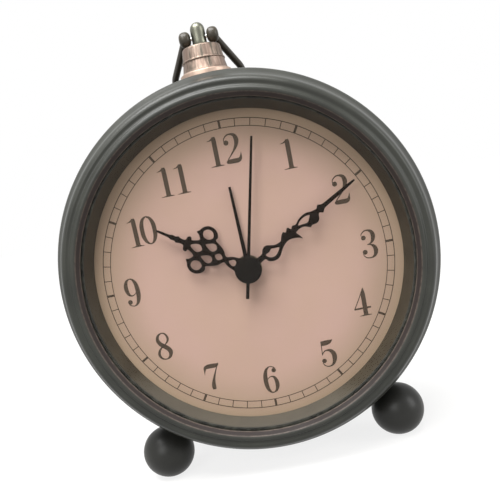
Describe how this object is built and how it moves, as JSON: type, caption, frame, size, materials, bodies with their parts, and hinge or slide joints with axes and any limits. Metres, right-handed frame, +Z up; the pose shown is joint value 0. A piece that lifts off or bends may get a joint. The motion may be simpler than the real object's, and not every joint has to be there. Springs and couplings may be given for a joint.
{
  "type": "table clock",
  "caption": "Round table alarm clock: beaded bezel, flat glass over a paper dial with ornate hands, ball feet, and a folding wire bow on a turned collar.",
  "frame": {"origin": "on the table, under the middle of the clock's bounding box", "axes": "+Z up, the dial faces -Y, 3 o'clock is at +X"},
  "size_m": [0.14, 0.0608, 0.1674],
  "materials": {
    "case_paint": "satin grey-green paint, rubbed at the edges",
    "foot_paint": "satin black paint",
    "wall_plastic": "satin olive brown",
    "copper": "brushed, copper coloured",
    "pewter": "brushed, pewter grey",
    "bow_paint": "satin black",
    "hand_paint": "satin brown-black",
    "cap_plastic": "semi-gloss black",
    "paper": "printed matt paper, pinkish beige",
    "fibre": "pressed fibre board",
    "glass": "clear, polished",
    "rubber": "matt",
    "lead_red": "satin",
    "black_plastic": "moulded, matt",
    "white_plastic": "moulded, satin",
    "brass": "turned",
    "steel": "zinc plated",
    "winding": "enamelled copper wire",
    "board": "green solder mask",
    "cell": "printed foil, plain blue"
  },
  "bodies": {
    "case": {"bezel_ring": "case_paint", "glass_lens": "glass", "glass_gasket": "rubber", "inner_wall_ring": "wall_plastic", "dial_card": "paper", "dial_plate": "fibre", "case_drum": "case_paint", "foot_left": "foot_paint", "foot_left_nut": "steel", "foot_right": "foot_paint", "foot_right_nut": "steel", "rear_foot": "foot_paint", "rear_foot_nut": "steel", "rear_foot_pad": "rubber", "pendant_collar": "copper", "pendant_post": "pewter", "pendant_nut": "steel", "bow_pivot_pin": "steel", "movement_front_plate": "black_plastic", "movement_rear_case": "black_plastic", "movement_screw_1": "steel", "movement_screw_2": "steel", "stator": "steel", "coil_bobbin": "white_plastic", "coil_winding": "winding", "circuit_board": "board", "quartz_crystal": "steel", "back_cover": "black_plastic", "cover_screw_1": "steel", "cover_screw_2": "steel", "cover_screw_3": "steel", "battery": "cell", "battery_contact_plus": "steel", "battery_contact_minus": "steel", "battery_spring": "steel", "battery_lead_red": "lead_red", "battery_lead_black": "rubber", "buzzer": "black_plastic"},
    "bow": {"bow_handle": "bow_paint"},
    "minute": {"cannon_pinion": "brass", "minute_hand": "hand_paint"},
    "hour": {"hour_wheel": "white_plastic", "hour_hand": "hand_paint"},
    "motion": {"motion_wheel": "white_plastic"},
    "time_setting": {"time_setting_arbor": "steel", "time_set_knob": "black_plastic"},
    "second": {"second_wheel": "white_plastic", "second_hand": "hand_paint", "hub_cap": "cap_plastic"},
    "third": {"third_wheel": "white_plastic"},
    "centre": {"centre_wheel": "brass"},
    "step": {"step_wheel": "white_plastic"},
    "rotor": {"rotor": "steel"},
    "alarm": {"alarm_wheel": "brass", "alarm_hand": "hand_paint"},
    "alarm_setting": {"alarm_setting_arbor": "steel", "alarm_set_knob": "black_plastic"},
    "switch": {"alarm_switch": "white_plastic"},
    "door": {"battery_door": "black_plastic"}
  },
  "joints": [
    {"name": "bow_swing", "type": "hinge", "parent": "case", "child": "bow", "pos_m": [-0.0015, -0.00585, 0.16219], "axis": [1, 0, 0], "range_deg": [0, 240]},
    {"name": "minute_turn", "type": "hinge", "parent": "case", "child": "minute", "pos_m": [0, -0.01985, 0.07699], "axis": [0, 1, 0], "continuous": true},
    {"name": "hour_turn", "type": "hinge", "parent": "case", "child": "hour", "pos_m": [0, -0.01985, 0.07699], "axis": [0, 1, 0], "continuous": true},
    {"name": "motion_turn", "type": "hinge", "parent": "case", "child": "motion", "pos_m": [0.00786, -0.01985, 0.07149], "axis": [0, 1, 0], "continuous": true},
    {"name": "time_knob_turn", "type": "hinge", "parent": "case", "child": "time_setting", "pos_m": [0.01337, -0.01985, 0.06362], "axis": [0, 1, 0], "continuous": true},
    {"name": "second_turn", "type": "hinge", "parent": "case", "child": "second", "pos_m": [0, -0.01985, 0.07699], "axis": [0, 1, 0], "continuous": true},
    {"name": "third_turn", "type": "hinge", "parent": "case", "child": "third", "pos_m": [-0.00574, -0.01985, 0.08693], "axis": [0, 1, 0], "continuous": true},
    {"name": "centre_turn", "type": "hinge", "parent": "case", "child": "centre", "pos_m": [0, -0.01985, 0.07699], "axis": [0, 1, 0], "continuous": true},
    {"name": "step_turn", "type": "hinge", "parent": "case", "child": "step", "pos_m": [0.00879, -0.01985, 0.08437], "axis": [0, 1, 0], "continuous": true},
    {"name": "rotor_turn", "type": "hinge", "parent": "case", "child": "rotor", "pos_m": [0.01919, -0.01985, 0.08621], "axis": [0, 1, 0], "continuous": true},
    {"name": "alarm_turn", "type": "hinge", "parent": "case", "child": "alarm", "pos_m": [0, -0.01985, 0.07699], "axis": [0, 1, 0], "continuous": true},
    {"name": "alarm_knob_turn", "type": "hinge", "parent": "case", "child": "alarm_setting", "pos_m": [-0.0105, -0.01985, 0.06649], "axis": [0, 1, 0], "continuous": true},
    {"name": "switch_slide", "type": "slide", "parent": "case", "child": "switch", "axis": [1, 0, 0], "range_m": [0, 0.004]},
    {"name": "door_swing", "type": "hinge", "parent": "case", "child": "door", "pos_m": [0, 0.02525, 0.09234], "axis": [-1, 0, 0], "range_deg": [0, 100]}
  ],
  "couplings": [
    {"joint": "hour_turn", "follows": "minute_turn", "ratio": 0.083333},
    {"joint": "motion_turn", "follows": "minute_turn", "ratio": -0.33333},
    {"joint": "time_knob_turn", "follows": "minute_turn", "ratio": 1},
    {"joint": "third_turn", "follows": "second_turn", "ratio": -0.13333},
    {"joint": "centre_turn", "follows": "second_turn", "ratio": 0.016667},
    {"joint": "step_turn", "follows": "second_turn", "ratio": -6},
    {"joint": "rotor_turn", "follows": "second_turn", "ratio": 30},
    {"joint": "alarm_knob_turn", "follows": "alarm_turn", "ratio": -1.25}
  ]
}
